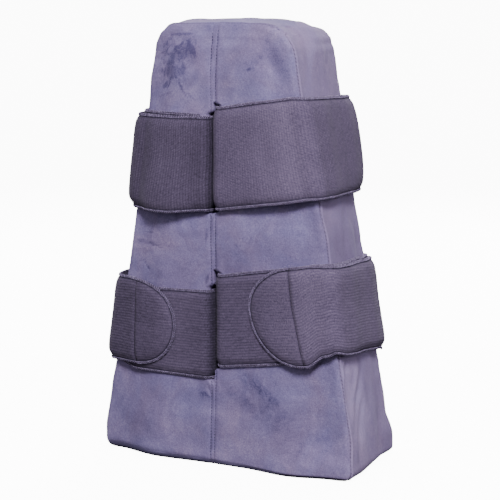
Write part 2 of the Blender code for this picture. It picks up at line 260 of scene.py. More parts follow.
# Where all cloth bridges the hollows beside the wedge's edges
BRIDGES = (
    # middle stop, reach in stops, millimetres
    (2.78, 0.24, 2.5),
    (4.20, 0.22, 2.0),
    (4.80, 0.22, 2.0),
    (6.30, 0.30, 1.5),
)

# First and last stop of each layer, and the stop beyond which the outer one ends in a tab
LAYER_ENDS = {
    ("upper", "outer"): (0.15, 6.0),
    ("upper", "inner"): (2.05, 8.85),
    ("lower", "outer"): (3.0, 8.85),
    ("lower", "inner"): (0.15, 6.95),
}
TAB_EDGE = {"upper": 6.0, "lower": 3.0}

# The tabs: stitch line's distance in from the edge, its lean, and the round end's radius, in metres
TABS = {
    "upper_left": (0.022, 0.0, 0.047),
    "upper_right": (0.026, 0.0, 0.048),
    "lower_left": (0.022, -0.17, 0.046),
    "lower_right": (0.031, 0.07, 0.051),
}

# How the cloth's tone changes from the front slot round to the back one: painted shade where it goes
# into the slots and where the left straps turn round the edges, painted highlight where the right
# straps do
CLOTH_TONES_AND_SHADE = (
    # stop, upper left, upper right, lower left, lower right
    (1.20, -0.35, -0.30, -0.35, -0.30),
    (1.90, -0.06, -0.04, -0.08, -0.10),
    (2.35, 0.00, 0.02, 0.03, -0.07),
    (2.65, 0.02, 0.10, -0.08, 0.04),
    (2.88, -0.06, 0.10, -0.12, 0.11),
    (3.40, -0.09, 0.04, -0.12, 0.06),
    (4.50, -0.08, -0.02, -0.06, 0.04),
    (5.60, -0.04, -0.04, -0.04, -0.02),
    (6.30, 0.00, 0.04, 0.00, 0.04),
    (7.10, -0.06, -0.04, -0.08, -0.06),
    (7.80, -0.35, -0.30, -0.35, -0.30),
)
TONE_COLUMNS = {"upper_left": 1, "upper_right": 2, "lower_left": 3, "lower_right": 4}

# Each cloth's strength of colour, lower on the left straps as painted shade, how much painted shade
# its rib gaps get, and how much its knitted rows stand out
CLOTH_LOOKS = {
    "upper_left": (0.76, 0.28, 0.07),
    "upper_right": (1.04, 0.16, 0.07),
    "lower_left": (0.88, 0.30, 0.03),
    "lower_right": (1.08, 0.28, 0.03),
}

SIDES = {"left": -1.0, "right": 1.0}
PAIRS = ("upper", "lower")

# Soft waves of the skin: amplitude in millimetres, wavelengths across and up in metres, phase
WAVES = (
    # height, across, up, phase
    (0.35, 0.110, 0.260, 0.4),
    (0.30, 0.071, 0.093, 2.1),
    (0.22, -0.052, 0.140, 4.4),
    (0.16, 0.033, 0.061, 1.3),
    (0.12, -0.024, 0.045, 5.2),
)

# Creases and small folds, in millimetres: a face, two ends, height out of the skin, half width
FOLDS = {
    # across 1, up 1, across 2, up 2, height, half width
    "right": (
        (-39, 128, -50, 60, 1.6, 2.2), (-33, 125, -45, 66, -1.6, 2.6),
        (-12, 112, -43, 48, 1.6, 3.4), (-5, 108, -34, 46, -1.4, 4.4), (-15, 84, -44, 8, 1.7, 2.8),
        (-9, 82, -38, 8, -1.5, 3.4), (8, 88, -14, 4, -0.9, 8.0), (24, 60, 30, 4, -1.3, 9.0),
        (-24, 28, -8, 56, 0.5, 2.0), (-36, 455, -31, 415, 0.6, 2.5),
        (-26, 452, -20, 410, -0.6, 4.0), (-38, 262, -40, 225, 0.6, 3.0),
        (10, 275, -8, 222, -0.7, 6.0),
    ),
    "left": (
        (-28, 120, -36, 40, 0.7, 3.0), (-4, 90, -18, 14, -0.9, 6.0), (20, 262, 8, 214, -0.6, 5.0),
        (30, 60, 24, 8, 0.7, 4.0),
    ),
    "front": (
        (-95, 233, -66, 226, -0.5, 2.0), (-97, 212, -86, 199, -0.5, 1.8),
        (-18, 204, -20, 186, -0.8, 2.2), (-15, 84, -11, 74, -1.0, 1.4),
        (120, 60, 134, 20, -0.8, 6.0), (100, 30, 138, 12, 0.6, 5.0),
        (-86, 52, -86, 12, -0.5, 5.0), (-64, 56, -60, 12, 0.5, 6.0),
        (54, 444, 66, 405, -1.5, 5.0),
    ),
    "back": (
        (-60, 250, -20, 236, -0.7, 4.0), (70, 232, 30, 216, -0.6, 4.0),
        (-110, 60, -80, 20, 0.6, 5.0), (90, 70, 120, 24, -0.8, 6.0),
        (30, 420, 46, 395, -0.7, 4.0),
    ),
}

# Patches where the pile lies the other way, in millimetres: a face, middle, size, slant, strength
NAP_PATCHES = {
    # across, up, half length, half width, slant in degrees, darkening
    "front": (
        (-56, 412, 20, 11, 4, 1.0), (-46, 431, 26, 13, 24, 0.85), (-66, 437, 15, 7, 60, 0.6),
        (-47, 450, 20, 2.5, 2, 0.8), (-64, 398, 11, 5, 30, 0.7), (-31, 433, 17, 1.6, -72, 0.75),
        (-44, 394, 16, 2.6, -60, 0.7), (-34, 386, 12, 2.4, -40, 0.6),
        (-60, 390, 14, 2.2, 20, 0.6), (-95, 231, 14, 5, -15, 0.6), (-87, 242, 9, 1.6, 0, 0.8),
        (-80, 229, 16, 1.8, -15, 0.8), (-92, 206, 10, 1.8, -50, 0.8),
        (-16, 240, 18, 2.2, 88, 0.6), (-16, 195, 11, 2.4, 75, 0.8), (-18, 74, 9, 4, -15, 0.7),
        (8, 78, 10, 4, -10, 0.4), (52, 83, 26, 5, -38, 0.42), (140, 95, 14, 3, -75, 0.4),
        (-88, 34, 26, 6, 88, 0.4), (-57, 36, 30, 8, 86, 0.35), (30, 238, 30, 10, 20, 0.4),
        (88, 250, 20, 7, -25, 0.45), (40, 420, 20, 7, 60, 0.5),
    ),
    "right": (
        (27, 25, 26, 9, 80, 0.4), (-28, 100, 20, 5, 70, 0.6), (8, 130, 18, 8, 80, 0.5),
        (30, 240, 18, 7, 80, 0.6), (18, 430, 20, 8, 60, 0.7),
    ),
    "left": (
        (0, 430, 20, 8, 70, 0.6), (10, 40, 26, 8, 80, 0.6),
    ),
    "back": (
        (-60, 420, 24, 8, 30, 0.6), (60, 240, 30, 8, -20, 0.6), (-80, 50, 40, 9, 30, 0.6),
        (70, 60, 36, 8, -35, 0.6), (0, 440, 22, 5, 5, 0.6),
    ),
}

# Areas where the pile is ruffled, in millimetres: a face, middle, size, slant, strength
RUFFLES = {
    # across, up, half length, half width, slant in degrees, strength
    "front": (
        (-54, 420, 46, 30, 70, 1.0), (-92, 228, 26, 14, 70, 0.5), (-18, 76, 14, 10, 0, 0.6),
        (48, 78, 60, 26, -38, 0.6), (90, 40, 60, 22, -30, 0.4), (30, 240, 60, 30, 0, 0.3),
        (40, 425, 30, 24, -40, 0.3),
    ),
    "right": (
        (0, 420, 44, 30, 80, 0.6), (10, 40, 44, 34, 90, 0.5), (0, 235, 30, 40, 0, 0.3),
    ),
    "left": (
        (0, 420, 40, 30, 90, 0.6), (0, 50, 50, 30, 90, 0.5),
    ),
    "back": (
        (-30, 415, 50, 34, 20, 0.8), (40, 235, 60, 30, -10, 0.6), (-30, 50, 90, 34, 10, 0.6),
    ),
}

# Broad areas that look darker, in millimetres: a face, middle, size, slant, darkening; partly
# painted shade
SHADES = {
    # across, up, half length, half width, slant in degrees, darkening
    "front": (
        (62, 424, 30, 9, -62, 0.22), (24, 408, 34, 30, 0, 0.05), (50, 84, 34, 8, -38, 0.20),
        (28, 70, 44, 7, -38, 0.16), (78, 46, 40, 9, -30, 0.14), (118, 36, 30, 14, -20, 0.16),
        (80, 40, 60, 26, -25, 0.10), (124, 62, 22, 50, 0, 0.08), (60, 222, 50, 16, 12, 0.08),
        (-84, 60, 40, 18, 80, 0.05),
    ),
    "right": (
        (-6, 112, 60, 7, 97, 0.16), (24, 60, 40, 9, 85, 0.16), (34, 20, 20, 12, 60, 0.14),
        # Painted shade on the side between the upper and lower straps
        (0, 235, 36, 50, 90, 0.30),
    ),
    "left": ((10, 80, 70, 14, 85, 0.12),),
    "back": (
        (60, 60, 50, 20, 30, 0.10), (-50, 240, 40, 16, -20, 0.10),
    ),
}

# Broad areas of painted light, in millimetres: a face, middle, size, slant, lightening
PAINTED_LIGHT_AREAS = {
    # across, up, half length, half width, slant in degrees, lightening
    "right": (
        (-24, 70, 66, 24, 97, 0.32), (6, 440, 34, 40, 90, 0.10),
    ),
    "left": ((-10, 60, 60, 24, 90, 0.14),),
    "front": ((-88, 300, 120, 20, 84, 0.04),),
}

# Floor and backdrop in metres, and their pale look
FLOOR_R = 3.6
WALL_TOP = 5.0
FLOOR_TURNS = 64
FLOOR_BENDS = 8
FLOOR_GLOW = 11.0
FLOOR_COLOUR = (0.92, 0.92, 0.925)

# Soft lamps, and the even light from all sides
LIGHTS = (
    # name, place, height of its aim on the middle line, size, watts
    ("key", (0.95, -1.6, 1.95), 0.22, 0.7, 108.0),
    ("fill", (-0.6, -2.1, 0.9), 0.2, 1.2, 10.0),
    ("side", (2.3, -0.3, 1.1), 0.2, 1.2, 20.0),
    ("back", (-0.4, 2.1, 1.6), 0.2, 1.2, 70.0),
    ("left", (-2.2, 0.5, 1.2), 0.2, 1.2, 34.0),
)
WORLD_STRENGTH = 0.16

# Camera at the photograph's angle
CAMERA_PLACE = (0.7393, -1.4054, 0.436)
CAMERA_TURN = (82.3, 0.0, 27.6)
CAMERA_LENS = 107.9
CAMERA_SENSOR = 36.0


def mix(a, b, share):
    return a + (b - a) * share


def ease(share):
    """Smooth step from 0 to 1."""
    share = np.clip(share, 0.0, 1.0)
    return share * share * (3.0 - 2.0 * share)


def straight(share):
    return share


def hump(value, middle, reach):
    """Smooth hump of height 1 that ends at its reach to both sides."""
    return np.maximum(0.0, 1.0 - ((value - middle) / reach) ** 2) ** 2


def bell(distance, width):
    return np.exp(-((distance / width) ** 2))


def from_slot(stop):
    """The stop counted from the nearer slot."""
    return np.minimum(stop, LAST_STOP - stop)


def face_of(stop):
    """1 on the front half of the section, -1 on the back half."""
    return np.where(stop <= MIDDLE_STOP, 1.0, -1.0)


def table_value(rows, key, column, blend):
    """A column of a table, blended between the rows on either side of the key."""
    keys = np.array([row[0] for row in rows], float)
    values = np.array([row[column] for row in rows], float)
    low = np.clip(np.searchsorted(keys, key) - 1, 0, len(rows) - 2)
    share = np.clip((key - keys[low]) / (keys[low + 1] - keys[low]), 0.0, 1.0)
    return mix(values[low], values[low + 1], blend(share))


def swell(z, column):
    return table_value(SWELLS, z / MM, column, ease) * MM


def slot_share(side, face, z):
    """1 at a side's half of a slot, 0 where the centre seam is sewn shut."""
    share = np.zeros_like(z)
    for at_side, at_face, bottom, top in SLOTS:
        inside = np.minimum(z - (bottom - SLOT_TAPER), (top + SLOT_TAPER) - z) / SLOT_TAPER
        here = (np.asarray(side) == at_side) & (np.asarray(face) == at_face)
        share = np.where(here, np.maximum(share, ease(inside)), share)
    return share


def outline(z, out):
    """Half width of the even wedge at a height, on a line that far outside its side seam."""
    arc_z = SEAM_TOP - TOP_CORNER_R
    arc_x = BASE_HALF - SIDE_TAPER * arc_z - TOP_CORNER_R * SLANT
    radius = TOP_CORNER_R + out
    round_half = arc_x + np.sqrt(np.maximum(radius * radius - (z - arc_z) ** 2, 0.0))
    straight_half = BASE_HALF - SIDE_TAPER * z + out * SLANT
    half = np.where(z > arc_z + radius * SIDE_TAPER / SLANT, round_half, straight_half)
    rise = np.clip(1.0 - z / BASE_CORNER_R, 0.0, 1.0)
    return half - BASE_CORNER_R * (1.0 - np.sqrt(1.0 - rise * rise))


def side_swell(side, z, depth):
    """How far the stuffing pushes a side out, from the front seam round to the back one."""
    right = mix(swell(z, RIGHT_FRONT), swell(z, RIGHT_BACK), ease(0.5 - depth / (2 * HALF_DEPTH)))
    return np.where(side < 0, swell(z, LEFT), right)


def strip_crown(z):
    on_top = ease((z - TOP_CROWN_START) / TOP_CROWN_RUN)
    return mix(SIDE_CROWN * ease(z / SIDE_CROWN_FULL), TOP_CROWN, on_top)


def edge_limit(z):
    """How much of the edge roll and the strip's crown lies above a height's section, 0 to 2."""
    roll = np.arcsin(np.clip(1.0 - (SEAM_TOP - z) / EDGE_R, 0.0, 1.0)) / QUARTER
    share = np.clip((z - SEAM_TOP) / strip_crown(z), 0.0, 1.0)
    return np.where(z > SEAM_TOP, 1.0 + np.arcsin(np.sqrt(share)) / QUARTER, roll)


def edge_place(z, way):
    """Depth from the middle plane and distance out from the seam line, for a way of 0 to 2."""
    rise = np.clip(1.0 - z / BASE_EDGE_R, 0.0, 1.0)
    depth = HALF_DEPTH - BASE_EDGE_R * (1.0 - np.sqrt(1.0 - rise * rise))
    angle = np.clip(way, 0.0, 1.0) * QUARTER
    strip = np.maximum(way - 1.0, 0.0)
    roll_depth = depth - EDGE_R * (1.0 - np.cos(angle))
    strip_depth = (depth - EDGE_R) * (1.0 - strip)
    roll_out = -EDGE_R * (1.0 - np.sin(angle))
    strip_out = strip_crown(z) * np.sin(strip * QUARTER) ** 2
    return np.where(way <= 1.0, roll_depth, strip_depth), np.where(way <= 1.0, roll_out, strip_out)


def panel_place(side, z, share, crown, face):
    """Point on a front or back panel, as its x and its depth; face is 1 in front, -1 behind."""
    opened = slot_share(side, face, z)
    start = mix(SEAM_HALF_GAP + SEAM_LIP_W, SLOT_HALF_GAP + SLOT_LIP_R, opened)
    depth, out = edge_place(z, edge_limit(z))
    near = SEAM_X + side * start
    far = side * (outline(z, out) + side_swell(side, z, face * depth))
    level = PANEL_LEVEL * (1.0 - ease((share - 0.5) / 0.5))
    rise = level + PANEL_HUMP * np.sin(math.pi * share) ** 2
    return mix(near, far, share), depth + crown * rise


def stitch_row(z):
    """Distance of the two rows of stitches from the centre seam."""
    return mix(STITCH_ROW_BASE, STITCH_ROW_TOP, np.clip(z / SEAM_TOP, 0.0, 1.0))


def seam_hollow(z, reach):
    """How far the sewn centre seam lies below the panels, at a distance from its line."""
    valley = CENTRE_VALLEY * (1.0 - ease(reach / (SEAM_HALF_GAP + SEAM_LIP_W)))
    ridge = -CENTRE_RIDGE * bell(reach, CENTRE_RIDGE_W)
    groove = STITCH_GROOVE * bell(reach - stitch_row(z), STITCH_GROOVE_W)
    return valley + ridge + groove


def slot_place(side, z, share, crown, face):
    """Point on a slot's wall and lip: share runs from 0 at the bottom over 1 to 2 at the panel."""
    opened = slot_share(side, face, z)
    either = np.maximum(opened, slot_share(-np.asarray(side), face, z))
    sewn = 1.0 - ease((z - (SEAM_TOP - EDGE_R)) / EDGE_R)
    skin = panel_place(side, z, 0.0, crown, face)[1]
    angle = np.clip(share - 1.0, 0.0, 1.0) * QUARTER
    wall = np.clip(share, 0.0, 1.0)
    sewn_reach = SEAM_HALF_GAP * wall + SEAM_LIP_W * np.clip(share - 1.0, 0.0, 1.0)
    open_reach = SLOT_HALF_GAP + SLOT_LIP_R * (1.0 - np.cos(angle))
    reach = mix(sewn_reach, open_reach, opened)
    floor = mix(seam_hollow(z, 0.0), SLOT_DEPTH, either)
    lip_down = mix(seam_hollow(z, sewn_reach), SLOT_LIP_R * (1.0 - np.sin(angle)), opened)
    down = np.where(share < 1.0, mix(floor, lip_down, wall), lip_down) * sewn
    return SEAM_X + side * reach, skin - down


def edge_turn(stop, z):
    """Way round the edge roll at a stop: 0 at the panel, 1 at the boxing strip, 2 at mid-strip."""
    way = from_slot(stop)
    floor = edge_limit(z)
    turn = np.where(way < 4.0, way - 3.0, 1.0 + (way - 4.0) * 2.0)
    turn = np.where(floor > 0.0, np.maximum(turn, mix(floor, 2.0, (way - 3.0) / 1.5)), turn)
    return np.where(way < 3.0, floor, turn)


def surface(side, stop, z):
    """Point of the wedge's even skin at a stop and a height, as its x and y."""
    way = from_slot(stop)
    face = face_of(stop)
    crown = np.where(face > 0, swell(z, FRONT_CROWN), swell(z, BACK_CROWN))
    slot_x, slot_depth = slot_place(side, z, way, crown, face)
    panel_x, panel_depth = panel_place(side, z, np.clip(way - 2.0, 0.0, 1.0), crown, face)
    edge_depth, out = edge_place(z, edge_turn(stop, z))
    edge_x = side * (outline(z, out) + side_swell(side, z, face * edge_depth))
    x = np.where(way < 2.0, slot_x, np.where(way < 3.0, panel_x, edge_x))
    y = -face * np.where(way < 2.0, slot_depth, np.where(way < 3.0, panel_depth, edge_depth))
    for at_face, begin, height, reach, start, full, right, deep in FLARES:
        rise = hump(z, height, reach) * ease((x - start) / (full - start))
        rise = rise * ease((-at_face * y - begin) / (HALF_DEPTH - begin))
        x = x + right * rise
        y = y - at_face * deep * rise
    return x, y


def outward(side, stop, z):
    """Level direction that points away from the wedge at a stop and a height."""
    step = 0.02
    x0, y0 = surface(side, np.maximum(stop - step, 0.0), z)
    x1, y1 = surface(side, np.minimum(stop + step, LAST_STOP), z)
    length = np.hypot(x1 - x0, y1 - y0)
    return side * (y1 - y0) / length, -side * (x1 - x0) / length


def crest_sag(x, z):
    """How far the top edge sags below its highest place."""
    amount = np.where(x > CREST_X, CREST_SAG_RIGHT, CREST_SAG_LEFT)
    return amount * (x - CREST_X) ** 2 * ease((z - CREST_START) / (CREST_FULL - CREST_START))


def noise(u, v, seed):
    """Smooth value noise between -1 and 1, one bump for each unit of u and v."""
    size = 64
    table = np.random.default_rng(seed).uniform(-1.0, 1.0, (size, size))
    u0 = np.floor(u).astype(int)
    v0 = np.floor(v).astype(int)
    share = ease(u - u0)
    rows = []
    for at in (v0 % size, (v0 + 1) % size):
        rows.append(mix(table[u0 % size, at], table[(u0 + 1) % size, at], share))
    return mix(rows[0], rows[1], ease(v - v0))


# Meshes

def new_piece(name, points, faces, material, values=None, flat_map=None):
    """A smooth mesh that rides with the part, with point values and a flat map for its material."""
    mesh = bpy.data.meshes.new(name)
    mesh.from_pydata(points.reshape(-1, 3).tolist(), [], faces)
    mesh.shade_smooth()
    for label, data in (values or {}).items():
        layer = mesh.attributes.new(label, "FLOAT", "POINT")
        layer.data.foreach_set("value", np.asarray(data, np.float32).ravel())
    if flat_map is not None:
        layer = mesh.uv_layers.new(name="cloth")
        corners = np.zeros(len(mesh.loops), np.int32)
        mesh.loops.foreach_get("vertex_index", corners)
        layer.data.foreach_set("uv", flat_map.reshape(-1, 2)[corners].astype(np.float32).ravel())
    mesh.materials.append(material)
    piece = bpy.data.objects.new(name, mesh)
    bpy.context.scene.collection.objects.link(piece)
    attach(piece, "root")
    return piece


def grid_faces(rows, columns, closed):
    """Quads of a grid whose rows are closed rings or open lines."""
    index = np.arange(rows * columns).reshape(rows, columns)
    if closed:
        index = np.concatenate([index, index[:, :1]], axis=1)
    quads = np.stack([index[:-1, :-1], index[:-1, 1:], index[1:, 1:], index[1:, :-1]], axis=-1)
    return quads.reshape(-1, 4).tolist()


def tubes(paths, radius, sides):
    """Points and faces of many thin round tubes; paths is tubes by steps by 3."""
    count, steps = paths.shape[:2]
    along = np.gradient(paths, axis=1)
    along /= np.linalg.norm(along, axis=2, keepdims=True) + 1e-12
    lift = np.broadcast_to(np.array((0.31, 0.52, 0.79)), along.shape)
    across = np.cross(along, lift)
    across /= np.linalg.norm(across, axis=2, keepdims=True) + 1e-12
    third = np.cross(along, across)
    angles = np.arange(sides) * 2.0 * math.pi / sides
    radii = np.broadcast_to(np.asarray(radius, float), (count, steps))[..., None, None]
    wide = across[:, :, None] * np.cos(angles)[:, None]
    ring = wide + third[:, :, None] * np.sin(angles)[:, None]
    points = paths[:, :, None] + ring * radii
    index = np.arange(count * steps * sides).reshape(count, steps, sides)
    after = np.roll(index, -1, axis=2)
    quads = np.stack([index[:, :-1], after[:, :-1], after[:, 1:], index[:, 1:]], axis=-1)
    first = index[:, 0, ::-1].reshape(-1, sides)
    last = index[:, -1].reshape(-1, sides)
    return points, quads.reshape(-1, 4).tolist() + first.tolist() + last.tolist()


# Materials

CLOTH_GLOSS = 0.12


class Nodes:
    """Short way to build one material's nodes."""

    def __init__(self, name):
        self.material = bpy.data.materials.new(name)
        self.material.use_nodes = True
        self.tree = self.material.node_tree
        self.shader = self.tree.nodes["Principled BSDF"]

    def add(self, kind, inputs=None, **settings):
        node = self.tree.nodes.new(kind)
        for key, value in settings.items():
            setattr(node, key, value)
        for key, value in (inputs or {}).items():
            self.put(node.inputs[key], value)
        return node

    def put(self, socket, value):
        if isinstance(value, bpy.types.NodeSocket):
            self.tree.links.new(value, socket)
        else:
            socket.default_value = value

    def math(self, operation, a, b=0.0, c=0.0):
        return self.add("ShaderNodeMath", {0: a, 1: b, 2: c}, operation=operation).outputs[0]

    def value(self, label):
        return self.add("ShaderNodeAttribute", attribute_name=label).outputs["Fac"]

    def place(self, scale=(1.0, 1.0, 1.0), turn=(0.0, 0.0, 0.0), flat=False):
        """Real coordinates in metres: of the object, or along and across the cloth."""
        if flat:
            source = self.add("ShaderNodeUVMap", uv_map="cloth").outputs[0]
        else:
            source = self.add("ShaderNodeTexCoord").outputs["Object"]
        inputs = {"Vector": source, "Scale": scale, "Rotation": turn}
        return self.add("ShaderNodeMapping", inputs).outputs[0]

    def noise(self, vector, scale, detail=2.0, rough=0.5, distortion=0.0):
        inputs = {"Vector": vector, "Scale": scale, "Detail": detail, "Roughness": rough}
        inputs["Distortion"] = distortion
        return self.add("ShaderNodeTexNoise", inputs).outputs["Fac"]

    def varied(self, tone, layers):
        """A tone that noise layers lighten above their middle value and darken below it."""
        for layer, amount in layers:
            around = self.math("SUBTRACT", layer, 0.5)
            tone = self.math("MULTIPLY_ADD", around, amount, tone)
        return tone

    def mean(self, a, b):
        return self.math("MULTIPLY", self.math("ADD", a, b), 0.5)

    def ramp(self, fac, stops):
        node = self.add("ShaderNodeValToRGB", {"Fac": fac})
        points = node.color_ramp.elements
        while len(points) < len(stops):
            points.new(0.5)
        for point, (position, colour) in zip(points, stops):
            point.position = position
            point.color = (*colour, 1.0)
        return node.outputs["Color"]

    def blend(self, fac, a, b, kind="MIX"):
        node = self.add("ShaderNodeMix", data_type="RGBA", blend_type=kind)
        self.put(node.inputs[0], fac)
        self.put(node.inputs[6], a)
        self.put(node.inputs[7], b)
        return node.outputs[2]

    def finish(self, colour, roughness, height=None, distance=0.001, strength=1.0, sheen=None):
        self.put(self.shader.inputs["Base Color"], colour)
        self.put(self.shader.inputs["Roughness"], roughness)
        self.shader.inputs["Specular IOR Level"].default_value = CLOTH_GLOSS
        if sheen:
            weight, rough, tint = sheen
            self.shader.inputs["Sheen Weight"].default_value = weight
            self.shader.inputs["Sheen Roughness"].default_value = rough
            self.shader.inputs["Sheen Tint"].default_value = (*tint, 1.0)
        if height is not None:
            inputs = {"Height": height, "Distance": distance, "Strength": strength}
            bump = self.add("ShaderNodeBump", inputs)
            self.put(self.shader.inputs["Normal"], bump.outputs[0])
        return self.material


PILE_DARK = (0.058, 0.049, 0.118)
PILE_MIDDLE = (0.152, 0.126, 0.244)
PILE_LIGHT = (0.295, 0.246, 0.415)
PILE_COOL = (0.97, 0.98, 1.06)
PILE_WARM = (1.07, 0.98, 0.98)
STRIP_SHEEN_COLOUR = (0.225, 0.165, 0.285)
SEAM_SHADE_COLOUR = (0.022, 0.018, 0.042)
LOOP_DARK = (0.024, 0.019, 0.036)
LOOP_MIDDLE = (0.084, 0.063, 0.114)
LOOP_LIGHT = (0.185, 0.144, 0.232)
GROOVE_SHADE_COLOUR = (0.014, 0.011, 0.024)


def grey(value):
    return (value, value, value)


def velour_material():
    """Short dense pile: two tones where it lies one way or the other, and a soft sheen."""
    n = Nodes("lavender_velour")
    where = n.place()
    broad = n.noise(where, 13.0, 2.0)
    warmth = n.noise(where, 17.0, 3.0, 0.6, 0.8)
    cloud = n.noise(n.place((1.0, 1.0, 0.7)), 34.0, 4.0, 0.6, 1.2)
    swirl = n.noise(n.place((1.0, 1.0, 0.8)), 62.0, 4.0, 0.62, 2.2)
    ragged = n.noise(where, 230.0, 3.0, 0.6)
    streak = n.noise(n.place((0.35, 1.0, 1.6), (0.0, math.radians(38.0), 0.0)), 60.0, 2.0)
    grain = n.noise(where, 900.0, 2.0, 0.6)
    fibre = n.noise(where, 420.0, 2.0, 0.6)
    # Where the pile is ruffled it lies in patches with crisp, torn edges
    crisp = n.ramp(swirl, ((0.46, grey(0.0)), (0.53, grey(1.0))))
    blob = n.varied(n.value("nap"), ((swirl, 1.0), (ragged, 0.4)))
    marked = n.ramp(blob, ((0.38, grey(0.0)), (0.66, grey(1.0))))
    layers = ((cloud, 0.55), (broad, 0.30), (streak, 0.22), (grain, 0.65), (fibre, 0.35))
    tone = n.varied(n.value("tone"), layers)
    tone = n.math("MULTIPLY_ADD", marked, -0.27, tone)
    tone = n.math("MULTIPLY_ADD", n.math("MULTIPLY", crisp, n.value("ruffle")), -0.18, tone)
    colour = n.ramp(tone, ((0.0, PILE_DARK), (0.5, PILE_MIDDLE), (1.0, PILE_LIGHT)))
    tint = n.ramp(warmth, ((0.34, PILE_COOL), (0.66, PILE_WARM)))
    colour = n.blend(1.0, colour, tint, "MULTIPLY")
    # Painted sheen: the boxing strip is tinted pink as at a grazing angle
    colour = n.blend(n.math("MULTIPLY", n.value("strip"), 0.45), colour, (*STRIP_SHEEN_COLOUR, 1.0))
    # Painted shade in the sunk seams, on the turned-under strip and along the stitch rows, and in
    # short dashes like stitch holes along the edge seam's groove
    flat = n.add("ShaderNodeSeparateXYZ", {0: where})
    run = n.math("ADD", flat.outputs[0], flat.outputs[2])
    way = n.math("MULTIPLY", run, 2.0 * math.pi / STITCH_PITCH)
    dash = n.math("MULTIPLY_ADD", n.math("SINE", way), 0.30, 0.50)
    dark = n.math("MAXIMUM", n.value("sunk_shade"), n.math("MULTIPLY", dash, n.value("sewn")))
    colour = n.blend(dark, colour, (*SEAM_SHADE_COLOUR, 1.0))
    sheen = (0.10, 0.35, (0.75, 0.68, 0.95))
    return n.finish(colour, 0.92, n.mean(grain, fibre), 0.0006, 0.6, sheen)


def strap_material(name, strength, rib_shade, row_tone, vertical):
    """Ribbed loop cloth: raised ribs of fuzzy loops, with painted shade in the gaps between them."""
    n = Nodes(name)
    loops = n.noise(n.place((1.0, 0.38, 1.0), flat=True), 900.0, 3.0, 0.65)
    dashes = n.noise(n.place((0.42, 1.0, 1.0), flat=True), 480.0, 3.0, 0.65)
    broad = n.noise(n.place(flat=True), 30.0, 2.0)
    fuzz = n.noise(n.place(), 1700.0, 2.0, 0.6)
    rib = n.value("rib")
    # Painted shade in the gaps between the ribs
    start = n.math("ADD", n.value("tone"), 0.42 - 0.7 * rib_shade)
    tone = n.math("MULTIPLY_ADD", rib, rib_shade, start)
    # Rows of knitted loops along each rib, shifted by half a row from rib to rib
    flat = n.add("ShaderNodeSeparateXYZ", {0: n.place(flat=True)})
    along, across = (1, 0) if vertical else (0, 1)
    shift = n.math("MULTIPLY", flat.outputs[across], math.pi / RIB_PITCH)
    run = n.math("MULTIPLY_ADD", flat.outputs[along], 2.0 * math.pi / KNIT_ROW, shift)
    row = n.math("MULTIPLY", n.math("SINE", run), rib)
    tone = n.math("MULTIPLY_ADD", row, row_tone, tone)
    tone = n.varied(tone, ((loops, 0.62), (dashes, 0.42), (broad, 0.20), (fuzz, 0.75)))
    stops = ((0.0, LOOP_DARK), (0.42, LOOP_MIDDLE), (1.0, LOOP_LIGHT))
    # A lower strength darkens the left straps' cloth as painted shade
    stops = [(at, [part * strength for part in colour]) for at, colour in stops]
    colour = n.ramp(tone, stops)
    # Painted shade in the grooves beside the sewn edges and in the tabs' sunk stitch lines
    colour = n.blend(n.math("MULTIPLY", n.value("sunk_shade"), 0.8), colour, (*GROOVE_SHADE_COLOUR, 1.0))
    sheen = (0.06, 0.5, (0.75, 0.68, 0.85))
    return n.finish(colour, 0.95, n.mean(loops, dashes), 0.0008, 0.8, sheen)


def thread_material(name, colour):
    """Spun thread with a little change of tone from loop to loop."""
    n = Nodes(name)
    tone = n.noise(n.place(), 420.0, 2.0)
    twist = n.noise(n.place(), 2600.0, 1.0)
    dark = tuple(part * 0.50 for part in colour)
    light = tuple(min(part * 1.75, 1.0) for part in colour)
    shade = n.ramp(tone, ((0.3, dark), (0.7, light)))
    return n.finish(shade, 0.8, twist, 0.0003, 0.6, sheen=(0.05, 0.5, (0.85, 0.80, 0.95)))


# The velour wedge

# Its grid: ways round the edge roll, heights near the floor in millimetres, and counts of points
ROLL_WAYS = (
    0.0, 0.14, 0.27, 0.38, 0.47, 0.54, 0.59, 0.63, 0.66, 0.68, 0.70, 0.73, 0.77, 0.82, 0.88, 0.94,
)
FOOT_LEVELS = (0.0, 0.3, 0.8, 1.5, 2.4, 3.5, 4.7, 5.8)
BODY_START = 7.0
BODY_LEVELS = 204
CROWN_LEVELS = 15
WALL_POINTS = 5
LIP_POINTS = 15
PANEL_POINTS = 38
STRIP_POINTS = 12

# Stops where the front gives way to a side, and a side to the back
TURN_FRONT = 3.2
TURN_BACK = 5.2
TURN_RUN = 0.6

# Tones of the velour, with painted light on the boxing strip, and how dark the painted shade in its
# sunk seams, its stitch rows and under its hem is
MEAN_TONE = 0.5
STRIP_PAINTED_LIGHT = 0.07
HEM_SHADE = 0.75
UNDER_SHADE = 0.86
ROW_SHADE = 0.10
ROW_W = 0.0007


def body_stops():
    """Stops of the fine half section, closest together at the seams."""
    half = np.concatenate([
        np.linspace(0.0, 1.0, WALL_POINTS, endpoint=False),
        np.linspace(1.0, 2.0, LIP_POINTS, endpoint=False),
        np.linspace(2.0, 3.0, PANEL_POINTS, endpoint=False),
        3.0 + np.array(ROLL_WAYS),
        np.linspace(4.0, MIDDLE_STOP, STRIP_POINTS, endpoint=False),
    ])
    return np.concatenate([half, [MIDDLE_STOP], LAST_STOP - half[::-1]])


